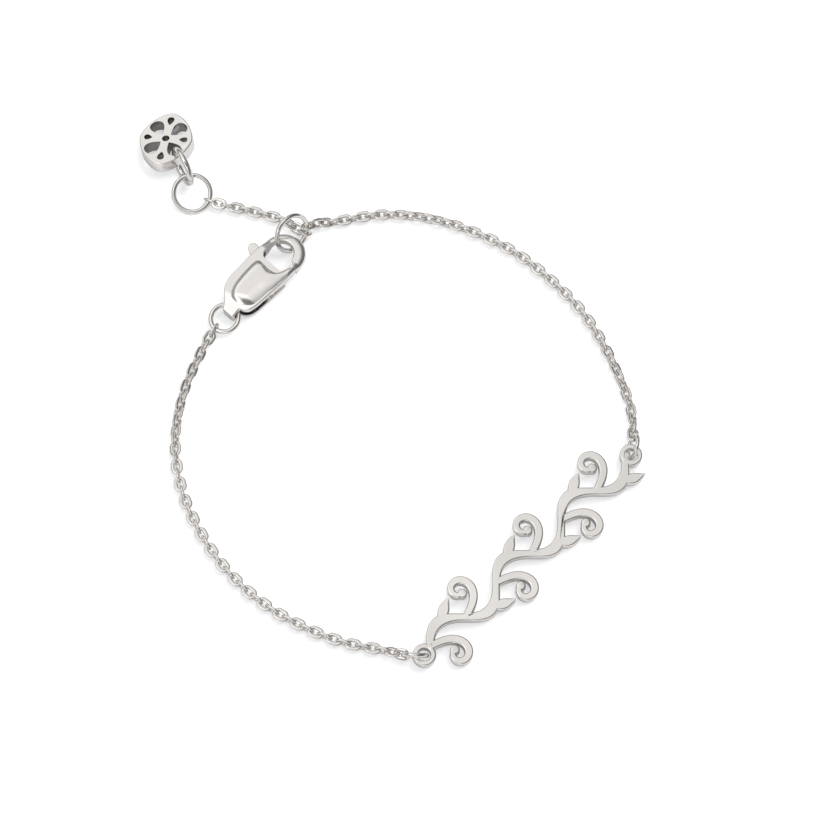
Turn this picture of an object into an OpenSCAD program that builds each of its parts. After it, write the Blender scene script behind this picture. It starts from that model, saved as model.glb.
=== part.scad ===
// Nameplate bracelet laid down as a closed loop: an ornamental plate, two strands of cable chain,
// a lobster clasp with a sprung lever, a ring that closes it, and a short extender with a charm.
// Millimetres, +Z up. The bracelet lies on z = 0, with the origin under the middle of its box.

/* [Chain] */
// Outer length of one cable link
link_length = 1.88; // [1.86:0.01:1.94]
// Outer width of one cable link
link_width = 1.4; // [1.38:0.01:1.44]
// Diameter of the link's wire
link_wire = 0.3; // [0.26:0.01:0.3]
// Largest step from one link to the next
link_step = 1.1; // [1.04:0.01:1.1]

/* [Plate] */
// Distance between the middles of the two eyelets
plate_span = 33; // [32.8:0.1:33.2]
// Thickness of the plate
plate_thick = 1.05; // [0.8:0.05:1.1]
// How high the stem's waves swing above and below the middle line
stem_swing = 1.55; // [1.4:0.05:1.7]
// Width of the stem where it is narrow
stem_thin = 0.85; // [0.7:0.05:0.9]
// Width of the stem at its crests
stem_wide = 1.35; // [1.2:0.05:1.5]
// Outer diameter of an eyelet
eyelet_outer = 2.6; // [2.5:0.05:2.65]
// Hole of an eyelet
eyelet_hole = 1.4; // [1.4:0.05:1.5]

/* [Rings] */
// Wire of the clasp ring and the closure ring
ring_wire = 0.56; // [0.5:0.02:0.56]
// Wire of the end ring
end_wire = 0.56; // [0.5:0.02:0.56]
// Wire of the charm ring
charm_wire = 0.75; // [0.6:0.05:0.75]
// Wire of the two small plate rings
small_wire = 0.48; // [0.4:0.02:0.48]

/* [Clasp] */
// Half the width of the clasp
clasp_half = 2.55; // [2.5:0.05:2.6]
// Half the thickness of the clasp's flat body
clasp_deep = 1; // [0.95:0.05:1.05]
// Rise of the domed pillow over the flat body
pillow_rise = 0.33; // [0.2:0.01:0.35]
// Half the height of the slot that the lever turns in
slot_half = 0.5; // [0.48:0.01:0.52]
// Running gap between the lever and each side of its slot
lever_gap = 0.08; // [0.06:0.01:0.1]
// Diameter of the lever's pin
pin_d = 0.84; // [0.8:0.01:0.86]

/* [Charm] */
// Thickness of the charm
charm_thick = 1.6; // [1.3:0.05:1.6]
// Half the charm's length, from corner to corner
charm_half_length = 3.8; // [3.7:0.05:3.9]
// Half the charm's width, from corner to corner
charm_half_width = 3.15; // [3.1:0.05:3.25]
// Length of one of the charm's four large petal openings
petal_length = 2.1; // [2.05:0.05:2.15]
// Width of one of the charm's four large petal openings
petal_width = 1.6; // [1.55:0.05:1.65]
// Diameter of the round hole in the charm's middle
charm_hole = 0.8; // [0.6:0.05:0.9]

/* [Hidden] */
$fn = 48;
BUFFED = [0.87, 0.86, 0.85];
TUMBLED = [0.84, 0.83, 0.82];
CAST = [0.8, 0.79, 0.78];
// Height of a cutter that goes right through any piece
cut_height = 6;

// The sizes below are laid out from a drawing point inside the loop. This moves it to the box's middle.
drawing_point = [3.141, -3.54, -0.005];

// Plate: middle of the left eyelet, turn of the middle line, and how far the plate leans on its rings
plate_at = [1, -29.1, 1.15];
plate_turn = 45.7;
plate_lean = 4;
stem_waves = 6;
stem_lead = 0.9;
wave_length = (plate_span - 2 * stem_lead) / stem_waves;
stem_steps = 14;
branch_steps = 3;
// Scrolls and leaves that branch off each half wave
// columns: where along the half wave, turn off the stem, length, first bend, last bend (1/mm),
// how late the bend grows, first width, last width, swelling in the middle, radius of the end ball
SCROLL = [0.04, -58, 8.6, 0.02, 1.5, 1.2, 0.85, 0.65, 0.25, 0.55];
LEAF = [0.6, 38, 2.6, -0.25, 0.35, 1, 0.6, 0.25, 0.85, 0.12];

// Rings: middle, lean from flat, turn of the leaning axis, radius to the wire's middle, wire
RING_CLASP = [[-21.583, 11.502, 1.035], 11.2, -41.1, 1.6, ring_wire];
RING_CLOSURE = [[-14.058, 21.678, 2.213], 62.7, 45.4, 2.16, ring_wire];
RING_END = [[-25.631, 27.33, 1.063], 20.8, 2, 2.12, end_wire];
RING_CHARM = [[-26.71, 30.141, 2.435], 86.88, -62.1, 2.05, charm_wire];
RING_PLATE_RIGHT = [[24.323, -4.472, 1.515], 70.4, -96, 1.34, small_wire];
RING_PLATE_LEFT = [[0.003, -29.158, 1.524], 71.1, 177.9, 1.34, small_wire];

// Routes of the chain strands. columns: x, y, lift over the resting height, roll of the even links
ROUTE_RIGHT = [
    [24.344, -2.952, 0.449, 9.3],
    [24.343, -0.453, 0.018, 45.5],
    [23.7, 2.5, 0, 45],
    [21.6, 7.7, 0, 10],
    [18.9, 12.5, 0, 0],
    [15.3, 16.6, 0, 0],
    [11.3, 20, 0, 0],
    [6.6, 22.6, 0, 0],
    [1.5, 24.3, 0, 20],
    [-3.8, 24.75, 0, 0],
    [-9.3, 23.85, 0, 0],
    [-10.874, 23.558, 0.353, 26.3],
    [-12.178, 22.962, 0.753, 23.4]
];
ROUTE_LEFT = [
    [-22.757, 10.132, -0.003, 90.9],
    [-24.023, 7.812, 0.035, 50.2],
    [-26.05, 2.4, 0, 45],
    [-26.8, -3.4, 0, 30],
    [-26, -9.2, 0, 0],
    [-23.8, -14.4, 0, 0],
    [-20.8, -18.9, 0, 0],
    [-17, -22.6, 0, 0],
    [-12.7, -25.35, 0, 0],
    [-8.1, -27.3, 0, 0],
    [-3.514, -28.311, 0.022, -7.4],
    [-1.456, -28.895, 0.438, -49.7]
];
ROUTE_EXTENDER = [
    [-12.655, 22.472, 0.168, 34.6],
    [-13.489, 23.117, -0.058, 48.2],
    [-15.7, 24.3, 0, 0],
    [-19.6, 25.4, 0, 0],
    [-22.38, 25.96, 0.308, -18],
    [-23.474, 26.442, 0.106, -19.6]
];
route_steps = 12;
floor_gap = 0.03;

// Clasp: its tail end, turn of its length and lift of its hook, which rests on the closure ring
clasp_at = [-21.22, 12.2, 1.28];
clasp_turn = 48;
clasp_lift = 2.5;
hook_x = 9.35;
hook_deep = 0.6;
tail_deep = 0.69;
// Half thickness along the clasp: thin at the tail, full over the lever, thin again at the hook
// columns: x, half thickness
DEPTHS = [[-1, tail_deep], [-0.3, tail_deep], [1.6, clasp_deep], [8.2, clasp_deep], [9.4, hook_deep],
    [13, hook_deep]];
window_x = 7.38;
// The hook's inner circle
hook_hole_at = [9.2, 0.3];
hook_hole_r = 1.5;
// Lever: its pivot, hub, the gate that closes the hook, and the thumb tab
pivot = [5.2, -1.4];
hub_r = 0.95;
gate_reach = 3.64;
gate_gap = 0.08;
GATE = [[4.8, -2.25], [6.4, -2.45], [9, -2.4], [9, -1.58], [7.45, -1.42], [6, -0.7]];
tab_at = [7.65, 3.14];
tab_r = 0.62;
lever_bore = 0.9;
// Blind holes that hold the pin's ends
socket_d = 0.88;
socket_deep = 0.3;
pin_end_gap = 0.03;
// Outline of the lever's slot, before it is cut to the circle that the gate's end sweeps
SLOT = [[1.7, -3], [9.5, -3], [9.5, -1.2], [window_x + 0.1, 0], [window_x + 0.1, 1.2], [7.2, 1.7],
    [1.7, 1.7]];
// Rectangles cut from the body: the tab's way through the spine, the hole across the tail, the gap at the
// gate's end, and the place under the gate. columns: x, y, length, width
TAB_WAY = [4.45, 1.2, 3.75, 2];
TAIL_HOLE = [0.04, -3, 1.7, 6];
GATE_END = [8, -3, 1.5, 1.6];
UNDER_GATE = [6.85, -3, 3, 1.7];
tail_hole_half = 0.42;
// Outline of the body's tail, from the spine round the tail's end to the front edge
TAIL = [[3.3, 2.55], [2.57, 2.45], [2, 2.25], [1.5, 1.9], [1, 1.43], [0.4, 0.9], [-0.32, 0.42],
    [-0.32, -1.1], [0.8, -1.05], [0.98, -1.35], [1.2, -1.75], [1.6, -2.05], [2.2, -2.22], [3, -2.32],
    [6.3, -2.55]];
// Outline of the raised pillow, and the dome that its top is part of
dome_y = -0.45;
dome_half = 2.05;
dome_r = (dome_half * dome_half + pillow_rise * pillow_rise) / (2 * pillow_rise);
PILLOW = [[6.3, 1.6], [6.75, 1.35], [6.72, 0.6], [6.62, -0.2], [6.85, -1.2], [7.4, -1.65], [8.1, -1.95],
    [8, -2.3], [6.3, -2.4], [3, -2.15], [2.1, -1.6], [1.5, -0.7], [1.35, 0.1], [1.7, 0.95], [2.6, 1.4],
    [4.4, 1.6]];

// Charm: its middle, heading of its raised corner, lean and turn of its long axis
charm_at = [-28.675, 33.665, 1.527];
charm_slope = -58.8;
charm_lean = 12.8;
charm_turn = -10.3;
// How full the charm's sides are: 1 is a lozenge with straight sides, 2 an ellipse
charm_bulge = 1.65;
charm_steps = 96;
petal_steps = 32;
// Small petal openings on the charm's two middle lines. columns: distance out, length, width, axis
SMALL_PETALS = [[2.1, 0.9, 0.7, 0], [2.55, 1.1, 0.75, 90]];
// One of the four large petal openings, the others are its mirror images
petal_at = [1.2, 1.36];
petal_turn = 50;

// Smooth curve through a table's rows, each row a point with further columns carried along
function blend4(a, b, c, d, t) =
    0.5 * (2 * b + t * (c - a) + t * t * (2 * a - 5 * b + 4 * c - d) + t * t * t * (3 * b - a - 3 * c + d));
function row(table, i) =
    i < 0 ? 2 * table[0] - table[1]
    : i >= len(table) ? 2 * table[len(table) - 1] - table[len(table) - 2]
    : table[i];
function smooth(table) = [
    for (i = [0 : len(table) - 2], k = [0 : route_steps - 1])
        blend4(row(table, i - 1), row(table, i), row(table, i + 1), row(table, i + 2), k / route_steps),
    table[len(table) - 1]
];

// Height of a link's middle when it rolls on the floor by an angle, or by that angle and a quarter turn
function rest_height(roll) =
    (link_width - link_wire) / 2 * max(abs(sin(roll)), abs(cos(roll))) + link_wire / 2
    + floor_gap;
// Rows of x, y, z, roll along a strand, and the distance travelled at each row
function strand_rows(table) = [for (r = smooth(table)) [r[0], r[1], r[2] + rest_height(r[3]), r[3]]];
function point(r) = [r[0], r[1], r[2]];
function travel(rows) = [
    for (i = 0, s = 0; i < len(rows);
        s = s + (i + 1 < len(rows) ? norm(point(rows[i + 1]) - point(rows[i])) : 0), i = i + 1) s
];
function column(rows, at, c) = [for (i = [0 : len(rows) - 1]) [at[i], rows[i][c]]];

// Points along a stroke whose bend grows with its length, each row x, y, heading, width.
// side is 1 or -1: the hand that the stroke bends to.
function branch_path(start, angle, branch, side) =
    let (length = branch[2], first = branch[3], last = branch[4], late = branch[5],
        steps = ceil(length * branch_steps), ds = length / steps)
    [for (i = 0, a = angle, p = start; i <= steps;
        bend = first + (last - first) * pow((i + 0.5) / steps, late),
        a = a - side * bend * ds * 180 / PI, p = p + ds * [cos(a), sin(a)], i = i + 1)
        [p[0], p[1], a, branch_width(branch, i / steps)]];
function branch_width(branch, s) = branch[6] + (branch[7] - branch[6]) * s + branch[8] * sin(180 * s);
function side_point(row, side) = [row[0], row[1]] + side * row[3] / 2 * [-sin(row[2]), cos(row[2])];
// Closed outline round a path: its left side out and its right side back
function ribbon(path) = concat(
    [for (row = path) side_point(row, 1)],
    [for (i = [len(path) - 1 : -1 : 0]) side_point(path[i], -1)]
);
function stem_at(t) = [stem_lead + wave_length * t, stem_swing * sin(180 * t)];
function stem_angle(t) = atan2(stem_swing * PI * cos(180 * t), wave_length);
function stem_width(t) = stem_thin + (stem_wide - stem_thin) * pow(sin(180 * t), 2);
function stem_path() = [
    for (i = [0 : stem_waves * stem_steps], t = [i / stem_steps])
        [stem_at(t)[0], stem_at(t)[1], stem_angle(t), stem_width(t)]
];
function arc(c, r, from, to, steps) = [
    for (i = [0 : steps], a = [from + (to - from) * i / steps]) c + r * [cos(a), sin(a)]
];
// Petal with its point towards -X and its round end towards +X: an ellipse pinched by sin(a / 2).
// petal_fill makes its widest place as wide as asked.
petal_fill = 0.77;
function petal(length, width) = [
    for (i = [0 : petal_steps - 1], a = [360 * i / petal_steps])
        [-length / 2 * cos(a), width / 2 * sin(a) * sin(a / 2) / petal_fill]
];

// Outline between a lozenge and an ellipse: an ellipse's cosine and sine, raised to a power above one
function cushion(half_width, half_length, bulge) = [
    for (i = [0 : charm_steps - 1], a = [360 * i / charm_steps])
        [half_width * sign(cos(a)) * pow(abs(cos(a)), 2 / bulge),
         half_length * sign(sin(a)) * pow(abs(sin(a)), 2 / bulge)]
];

module place() {
    translate(drawing_point) children();
}

module slab(low, high) {
    translate([0, 0, low]) linear_extrude(high - low) children();
}

module patch(area) {
    translate([area[0], area[1]]) square([area[2], area[3]]);
}

module ring(spec) {
    place() translate(spec[0]) rotate([spec[1], 0, spec[2]])
        rotate_extrude() translate([spec[3], 0]) circle(d = spec[4]);
}

module plate_ring_left() { color(TUMBLED) ring(RING_PLATE_LEFT); }
module plate_ring_right() { color(TUMBLED) ring(RING_PLATE_RIGHT); }
module clasp_ring() { color(TUMBLED) ring(RING_CLASP); }
module closure_ring() { color(TUMBLED) ring(RING_CLOSURE); }
module end_ring() { color(TUMBLED) ring(RING_END); }
module charm_ring() { color(TUMBLED) ring(RING_CHARM); }

// One link along X, lying flat: two half rings joined by two straight wires
module link() {
    straight = link_length - link_width;
    bend = (link_width - link_wire) / 2;
    for (side = [-1, 1]) {
        translate([side * straight / 2, 0, 0]) rotate([0, 0, -side * 90])
            rotate_extrude(angle = 180) translate([bend, 0]) circle(d = link_wire);
        translate([0, side * bend, 0]) rotate([0, 90, 0])
            cylinder(d = link_wire, h = straight, center = true);
    }
}

// A strand of links evenly spaced along a route, each turned a quarter from the one before
module strand(table) {
    rows = strand_rows(table);
    at = travel(rows);
    total = at[len(at) - 1];
    steps = ceil(total / link_step);
    xs = column(rows, at, 0);
    ys = column(rows, at, 1);
    zs = column(rows, at, 2);
    rolls = column(rows, at, 3);
    place() for (k = [0 : steps]) {
        s = total * k / steps;
        near = max(s - link_step / 2, 0);
        far = min(s + link_step / 2, total);
        way = [for (axis = [xs, ys, zs]) lookup(far, axis) - lookup(near, axis)];
        roll = lookup(s, rolls) + 90 * (k % 2);
        climb = atan2(way[2], norm([way[0], way[1]]));
        heading = atan2(way[1], way[0]);
        translate([lookup(s, xs), lookup(s, ys), lookup(s, zs)]) rotate([roll, -climb, heading]) link();
    }
}

module chain_left() { color(TUMBLED) strand(ROUTE_LEFT); }
module chain_right() { color(TUMBLED) strand(ROUTE_RIGHT); }
module extender_chain() { color(TUMBLED) strand(ROUTE_EXTENDER); }

module plate_slab() {
    slab(-plate_thick / 2, plate_thick / 2) children();
}

// The ornament: a waving stem with a scroll and a leaf on every half wave, and an eyelet at each end
module ornament() {
    plate_slab() polygon(ribbon(stem_path()));
    for (i = [0 : stem_waves - 1], branch = [SCROLL, LEAF]) {
        side = i % 2 == 0 ? 1 : -1;
        t = i + branch[0];
        path = branch_path(stem_at(t), stem_angle(t) + side * branch[1], branch, side);
        tip = path[len(path) - 1];
        plate_slab() polygon(ribbon(path));
        translate([tip[0], tip[1], 0]) plate_slab() circle(branch[9]);
    }
    for (x = [0, plate_span]) translate([x, 0, 0]) plate_slab() circle(d = eyelet_outer);
}

module nameplate() {
    color(BUFFED) place() translate(plate_at) rotate([plate_lean, 0, plate_turn]) difference() {
        ornament();
        for (x = [0, plate_span]) translate([x, 0, 0])
            cylinder(d = eyelet_hole, h = cut_height, center = true);
    }
}

// Puts a piece of the clasp, drawn with its length on X and its middle plane on z = 0, where it lies
module clasp_place() {
    place() translate(clasp_at) rotate([0, -clasp_lift, clasp_turn]) children();
}

module clasp_outline() {
    polygon(concat(arc([hook_x, 0], clasp_half, -90, 90, 36), TAIL));
}

// The space inside the hook, closed on its front side by the lever's gate
module window_outline() {
    polygon(concat([[window_x, -1.34], [window_x, 1.06], [7.5, 1.38], [7.75, 1.62], [8.1, 1.74]],
        arc(hook_hole_at, hook_hole_r, 90, -75, 24), [[9.34, -1.27], [8.94, -1.78], [8.7, -2.14]]));
}

// Everything within the clasp's half thickness, from tail to hook
module side_profile() {
    rotate([90, 0, 0]) linear_extrude(cut_height + 2, center = true) polygon(concat(
        [for (row = DEPTHS) [row[0], -row[1]]],
        [for (i = [len(DEPTHS) - 1 : -1 : 0]) DEPTHS[i]]
    ));
}

// Domed pillow on the upper face: the pillow's outline cut from a lying cylinder
module pillow() {
    intersection() {
        slab(clasp_deep / 2, clasp_deep + 2 * pillow_rise) polygon(PILLOW);
        translate([0, dome_y, clasp_deep + pillow_rise - dome_r]) rotate([0, 90, 0])
            cylinder(r = dome_r, h = 12, $fn = 180);
    }
}

module gate_sweep() {
    translate(pivot) circle(gate_reach + gate_gap);
}

module clasp_body() {
    color(CAST) clasp_place() difference() {
        union() {
            intersection() {
                slab(-clasp_deep, clasp_deep) difference() {
                    clasp_outline();
                    window_outline();
                }
                side_profile();
            }
            pillow();
            mirror([0, 0, 1]) pillow();
        }
        // Slot for the lever: open in front and into the window, closed by the spine
        slab(-slot_half, slot_half) intersection() {
            gate_sweep();
            polygon(SLOT);
        }
        slab(-slot_half, slot_half) patch(TAB_WAY);
        slab(-tail_hole_half, tail_hole_half) patch(TAIL_HOLE);
        // Gap between the horn and the hook's tip
        slab(-cut_height / 2, cut_height / 2) difference() {
            intersection() {
                gate_sweep();
                patch(GATE_END);
            }
            translate(pivot) circle(gate_reach);
        }
        // The lower side has no horn under the gate
        slab(-cut_height / 2, 0) intersection() {
            gate_sweep();
            patch(UNDER_GATE);
        }
        translate(pivot) cylinder(d = socket_d, h = 2 * (slot_half + socket_deep), center = true);
    }
}

module clasp_pin() {
    color(TUMBLED) clasp_place() translate(pivot)
        cylinder(d = pin_d, h = 2 * (slot_half + socket_deep - pin_end_gap), center = true);
}

// Lever: hub round the pin, gate arm to the hook's tip, round-ended thumb tab out through the spine
module clasp_lever() {
    deep = slot_half - lever_gap;
    reach = norm(tab_at - pivot);
    aim = atan2(tab_at[1] - pivot[1], tab_at[0] - pivot[0]);
    color(CAST) clasp_place() difference() {
        slab(-deep, deep) {
            translate(pivot) circle(hub_r);
            intersection() {
                polygon(GATE);
                translate(pivot) circle(gate_reach);
            }
            translate(pivot) rotate(aim) translate([0, -tab_r]) square([reach, 2 * tab_r]);
            translate(tab_at) circle(tab_r);
        }
        translate(pivot) cylinder(d = lever_bore, h = cut_height, center = true);
    }
}

// Petal openings: four large ones towards the corners and two small ones on each middle line
module petals() {
    for (x = [0, 1], y = [0, 1]) mirror([x, 0]) mirror([0, y])
        translate(petal_at) rotate(petal_turn) polygon(petal(petal_length, petal_width));
    for (row = SMALL_PETALS, half_turn = [0, 180])
        rotate(row[3] + half_turn) translate([row[0], 0]) polygon(petal(row[1], row[2]));
}

// Pierced cushion-shaped tag
module charm() {
    color(BUFFED) place() translate(charm_at) rotate([0, 0, charm_slope]) rotate([0, -charm_lean, 0])
        rotate([0, 0, charm_turn - charm_slope]) difference() {
            slab(-charm_thick / 2, charm_thick / 2)
                polygon(cushion(charm_half_width, charm_half_length, charm_bulge));
            slab(-cut_height / 2, cut_height / 2) petals();
            cylinder(d = charm_hole, h = cut_height, center = true);
        }
}

nameplate();
plate_ring_left();
plate_ring_right();
chain_left();
chain_right();
clasp_ring();
clasp_body();
clasp_pin();
clasp_lever();
closure_ring();
extender_chain();
end_ring();
charm_ring();
charm();
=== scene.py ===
# %% [markdown]
# # A nameplate bracelet, laid down as a closed loop
# The bracelet is polished silver: an openwork plate, two strands of cable chain, a lobster clasp,
# jump rings and a small pierced tag. Everything here is worked out in millimetres, in the frame of the
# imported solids, and becomes metres only when a mesh is made.

# %% Setup
import math

import bmesh
import bpy
import numpy as np
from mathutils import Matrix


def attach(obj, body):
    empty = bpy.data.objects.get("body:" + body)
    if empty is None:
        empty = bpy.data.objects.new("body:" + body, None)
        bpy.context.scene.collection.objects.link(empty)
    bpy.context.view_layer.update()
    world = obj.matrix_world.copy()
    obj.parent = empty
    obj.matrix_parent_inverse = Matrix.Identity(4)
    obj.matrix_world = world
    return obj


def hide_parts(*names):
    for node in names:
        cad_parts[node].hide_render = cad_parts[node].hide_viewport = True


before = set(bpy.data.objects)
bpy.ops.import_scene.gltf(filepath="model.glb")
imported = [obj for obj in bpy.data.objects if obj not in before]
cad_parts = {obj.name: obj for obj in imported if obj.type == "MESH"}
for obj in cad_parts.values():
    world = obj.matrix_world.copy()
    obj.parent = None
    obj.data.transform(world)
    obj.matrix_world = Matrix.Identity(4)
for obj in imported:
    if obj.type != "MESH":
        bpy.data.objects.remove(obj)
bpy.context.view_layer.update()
MM = 0.001
# The drawing is laid out from a point inside the loop; this moves it to the bracelet's frame
DRAWING_POINT = np.array([3.141, -3.54, -0.005])

# %% [markdown]
# ## Camera
# The photograph looks down on the bracelet from well above the table, so steeply that the loop is
# only a little flattened. A long lens from 420 mm away keeps the far charm and the near plate almost
# the same size. The loop's shape fixes the angle: a round loop seen at 66.5 degrees.

# %% Camera
VIEW_ELEVATION = 66.5
VIEW_DISTANCE = 420.0
# Focal length counted in pixels of the photograph, and the photograph's width
FOCAL_PIXELS, IMAGE_PIXELS = 3738.0, 830
SENSOR_MM, FARTHEST = 36.0, 5.0
camera_data = bpy.data.cameras.new("camera")
camera_data.sensor_width = SENSOR_MM
camera_data.lens = SENSOR_MM * FOCAL_PIXELS / IMAGE_PIXELS
camera_data.clip_end = FARTHEST
camera = bpy.data.objects.new("camera", camera_data)
tilt = math.radians(VIEW_ELEVATION)
offset = VIEW_DISTANCE * np.array([0.0, -math.cos(tilt), math.sin(tilt)])
camera.location = (DRAWING_POINT + offset) * MM
camera.rotation_euler = (math.pi / 2 - tilt, 0.0, 0.0)
bpy.context.scene.collection.objects.link(camera)
bpy.context.scene.camera = camera
print("camera lens, mm:", round(camera_data.lens, 1))

# %% [markdown]
# ## Table and light
# Silver shows what is round it, so the light is half of its look. The studio is a tent of bright cloth over
# a white table, open on its sides and behind, with a dark opening in front for the lens. A flat face that
# looks up mirrors the cloth, a side that turns to the lens or to the open parts mirrors the dark as a thin
# grey line, and a face that looks down mirrors the table. That makes polished metal read as metal on white
# paper. A soft lamp from the upper right, which the metal doesn't mirror, gives the faint shadows on the
# left of each piece. The table glows a little, so that it stays white round the shadows, and it glows
# less in the metal, so that a rim still shows against it.

# %% Table
# Half the table's side, in metres
FLOOR_HALF = 0.9
PAPER_COLOUR, PAPER_GLOW_COLOUR = (0.64, 0.64, 0.65, 1), (0.98, 0.99, 1.0, 1)
PAPER_ROUGHNESS, PAPER_SHINE = 0.9, 0.1
# How strongly the paper glows to the eye, and in the metal
TABLE_GLOW, MIRRORED_GLOW = 0.5, 0.06
floor_mesh = bpy.data.meshes.new("table")
corners = [(x * FLOOR_HALF, y * FLOOR_HALF, 0) for x, y in ((-1, -1), (1, -1), (1, 1), (-1, 1))]
floor_mesh.from_pydata(corners, [], [(0, 1, 2, 3)])
floor = bpy.data.objects.new("table", floor_mesh)
bpy.context.scene.collection.objects.link(floor)
paper = bpy.data.materials.new("white_paper")
paper.use_nodes = True
paper_shader = paper.node_tree.nodes["Principled BSDF"]
paper_shader.inputs["Base Color"].default_value = PAPER_COLOUR
paper_shader.inputs["Roughness"].default_value = PAPER_ROUGHNESS
paper_shader.inputs["Specular IOR Level"].default_value = PAPER_SHINE
paper_shader.inputs["Emission Color"].default_value = PAPER_GLOW_COLOUR
rays = paper.node_tree.nodes.new("ShaderNodeLightPath")
pick = paper.node_tree.nodes.new("ShaderNodeMapRange")
pick.inputs["To Min"].default_value = TABLE_GLOW
pick.inputs["To Max"].default_value = MIRRORED_GLOW
paper.node_tree.links.new(rays.outputs["Is Glossy Ray"], pick.inputs["Value"])
paper.node_tree.links.new(pick.outputs["Result"], paper_shader.inputs["Emission Strength"])
floor_mesh.materials.append(paper)
print("table side, m:", 2 * FLOOR_HALF)

# %% Studio values
# Places in the tent are given by how far a ray leans along X or Y for each step up.
# The tent's cloth ends on the left, on the right and behind.
# columns: lean where the light ends, lean where it is full
TENT_LEFT, TENT_RIGHT, TENT_FAR = (-1.65, -0.95), (0.85, -0.1), (1.95, 1.25)
# Glow of the cloth: bright overhead, less towards the back, less low in front, and more on the left
BACK_FADE, BACK_GLOW = (-0.2, 0.5), (1.25, 0.85)
FRONT_FADE, FRONT_SHARE = (-1.4, -0.6), 0.75
LEFT_FADE, LEFT_SHARE = (-0.8, -0.1), 1.2
# The opening for the lens: its middle, and how wide it is for its height
LENS_LEAN, LENS_WIDE = (0.0, -0.5), 1.7
# Squared distances from its middle where it stops being dark and where it ends, and its share of the light
LENS_EDGE, LENS_SHARE = (0.04, 0.16), 0.12
ROOM_LEFT_GLOW, ROOM_RIGHT_GLOW = 0.36, 0.16
GLOW_COLOUR = (1, 0.995, 0.985, 1)
# Least rise of a ray that the leans are divided by
LEAST_RISE = 0.02

# %% Studio arithmetic
world = bpy.data.worlds.new("studio")
bpy.context.scene.world = world
world.use_nodes = True
nodes, links = world.node_tree.nodes, world.node_tree.links
nodes.clear()


def fade(value, start, stop, low, high):
    """Value carried from low at start to high at stop in an S-shaped step, and held beyond them."""
    step = nodes.new("ShaderNodeMapRange")
    step.interpolation_type = "SMOOTHSTEP"
    for name, number in (("From Min", start), ("From Max", stop), ("To Min", low), ("To Max", high)):
        step.inputs[name].default_value = number
    links.new(value, step.inputs["Value"])
    return step.outputs["Result"]


def work_out(kind, first, second):
    """One arithmetic step on two values; either may be a plain number."""
    step = nodes.new("ShaderNodeMath")
    step.operation = kind
    for socket, value in zip(step.inputs, (first, second)):
        if isinstance(value, (int, float)):
            socket.default_value = value
        else:
            links.new(value, socket)
    return step.outputs["Value"]


# %% Studio room
direction = nodes.new("ShaderNodeTexCoord")
ray = nodes.new("ShaderNodeSeparateXYZ")
links.new(direction.outputs["Generated"], ray.inputs[0])
rise = work_out("MAXIMUM", ray.outputs["Z"], LEAST_RISE)
lean_x = work_out("DIVIDE", ray.outputs["X"], rise)
lean_y = work_out("DIVIDE", ray.outputs["Y"], rise)
inside = work_out("MULTIPLY", fade(lean_x, *TENT_LEFT, 0, 1), fade(lean_x, *TENT_RIGHT[::-1], 1, 0))
inside = work_out("MULTIPLY", inside, fade(lean_y, *TENT_FAR[::-1], 1, 0))
cloth = fade(lean_y, *BACK_FADE, *BACK_GLOW)
cloth = work_out("MULTIPLY", cloth, fade(lean_y, *FRONT_FADE, FRONT_SHARE, 1))
cloth = work_out("MULTIPLY", cloth, fade(lean_x, *LEFT_FADE, LEFT_SHARE, 1))
off_x, off_y = (work_out("SUBTRACT", lean, middle) for lean, middle in zip((lean_x, lean_y), LENS_LEAN))
off_x = work_out("DIVIDE", off_x, LENS_WIDE)
off_lens = work_out("ADD", work_out("MULTIPLY", off_x, off_x), work_out("MULTIPLY", off_y, off_y))
cloth = work_out("MULTIPLY", cloth, fade(off_lens, *LENS_EDGE, LENS_SHARE, 1))
panel = work_out("MULTIPLY", inside, cloth)
room = fade(ray.outputs["X"], -1, 1, ROOM_LEFT_GLOW, ROOM_RIGHT_GLOW)
room = work_out("MULTIPLY", room, work_out("SUBTRACT", 1, inside))
glow = nodes.new("ShaderNodeBackground")
glow.inputs["Color"].default_value = GLOW_COLOUR
links.new(work_out("ADD", panel, room), glow.inputs["Strength"])
output = nodes.new("ShaderNodeOutputWorld")
links.new(glow.outputs["Background"], output.inputs["Surface"])
print("world nodes:", len(nodes))

# %% Lamp
KEY_PLACE, KEY_SIZE, KEY_POWER = (0.32, 0.25, 0.60), 0.60, 5.0


def lamp(name, place, aim, size, power):
    """Square area lamp at a place, turned to face an aim point, both in metres; metal doesn't mirror it."""
    data = bpy.data.lights.new(name, "AREA")
    data.size = size
    data.energy = power
    holder = bpy.data.objects.new(name, data)
    holder.location = place
    away = np.subtract(place, aim)
    holder.rotation_euler = (math.atan2(math.hypot(away[0], away[1]), away[2]), 0,
                             math.atan2(away[1], away[0]) + math.pi / 2)
    holder.visible_glossy = False
    bpy.context.scene.collection.objects.link(holder)


lamp("key_lamp", KEY_PLACE, (0, 0, 0), KEY_SIZE, KEY_POWER)
bpy.context.scene.view_settings.view_transform = "Standard"
bpy.context.scene.view_settings.look = "None"
print("lamp power, W:", KEY_POWER)

# %% [markdown]
# ## Silver
# All the metal is the same silver, but each piece is finished in its own way, and a finish decides how much
# light it gives back. The plate and the tag are buffed by hand, which leaves slow waves in their faces. The
# chain and the rings are tumbled, and the clasp is cast and waves less. The walls inside the tag's openings
# are duller and carry a painted shade: a much darker colour that stands in for the shade inside them. One
# material maker does all four: a metal whose roughness wanders between two values, with a fine grain as
# bump. The pattern sits on Object coordinates, so it stays on the metal when the lever turns.

# %% Silver finishes
# Broad waves per metre
SWAY_SCALE = 110
# Part of a noise's range that carries the roughness from its low to its high value
CLOUD_SPAN = (0.35, 0.65)
CLOUD_DETAIL, GRAIN_DETAIL = 3.0, 2.0
GRAIN_STRENGTH = 0.35


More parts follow.
